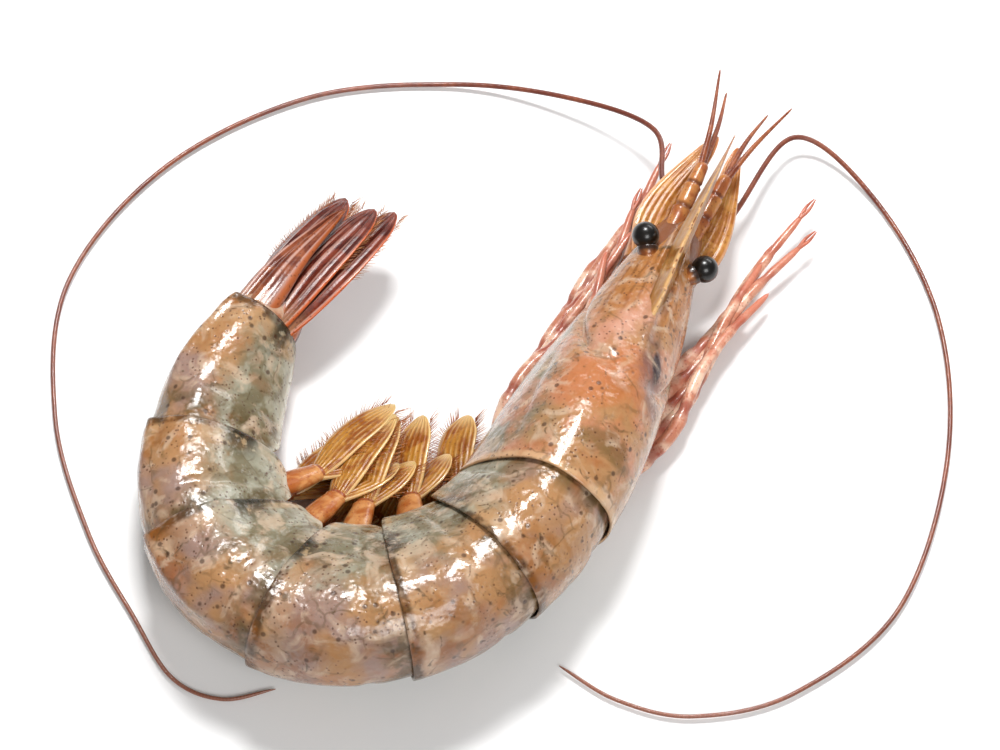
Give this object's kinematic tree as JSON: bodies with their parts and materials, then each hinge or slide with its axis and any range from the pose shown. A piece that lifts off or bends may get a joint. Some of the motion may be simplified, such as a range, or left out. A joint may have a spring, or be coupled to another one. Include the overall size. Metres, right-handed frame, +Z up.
{
  "type": "raw prawn",
  "caption": "Whole raw prawn with its head, legs, tail fan and long feelers on, lying curled on its side.",
  "frame": {"origin": "the middle of the bounding box, on the surface that the prawn lies on", "axes": "+Z up from the surface; +X across the open curl, from the tail's side to the head's side; +Y towards the open mouth of the curl, the way the rostrum and the tail point"},
  "size_m": [0.1122, 0.0892, 0.0193],
  "materials": {
    "shell": "wet translucent shell, grey-green at the flanks and tan pink along the back",
    "flesh": "wet raw flesh, pale pink grey",
    "limb": "wet, pink white to salmon",
    "swimmeret": "wet, amber with a pink tinge",
    "tail_fan": "wet, dark red brown with an orange edge",
    "feeler": "reddish brown, smooth",
    "eye": "black, glossy"
  },
  "bodies": {
    "root": {"prawn": "shell", "feeler_left": "feeler", "feeler_right": "feeler"}
  },
  "joints": []
}
